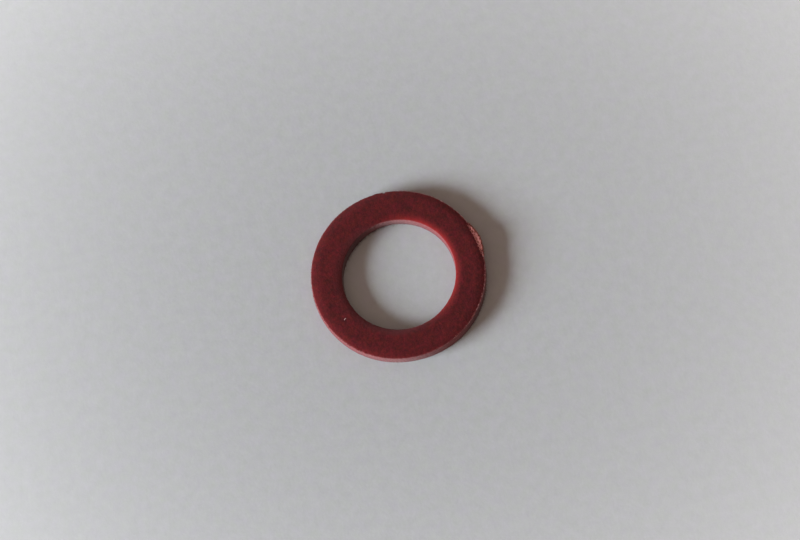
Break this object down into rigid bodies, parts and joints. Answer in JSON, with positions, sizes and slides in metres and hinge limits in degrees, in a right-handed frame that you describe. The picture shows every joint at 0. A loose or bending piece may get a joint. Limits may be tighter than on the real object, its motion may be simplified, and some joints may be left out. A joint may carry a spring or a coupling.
{
  "type": "fibre washer",
  "caption": "Flat ring punched out of red vulcanised fibre, top edges rounded over by the die, rim torn in one place. Seals a threaded joint when squeezed between flat faces.",
  "frame": {"origin": "axis of the bore at the underside, which the washer lies on; the rim is 0.1 mm off that axis", "axes": "+Z along the bore, up out of the face with the rounded edges; the torn patch on the rim is 10 degrees round from +X towards +Y"},
  "size_m": [0.0187, 0.0185, 0.0016],
  "materials": {
    "fibre": "matte"
  },
  "bodies": {
    "root": {"washer": "fibre"}
  },
  "joints": []
}
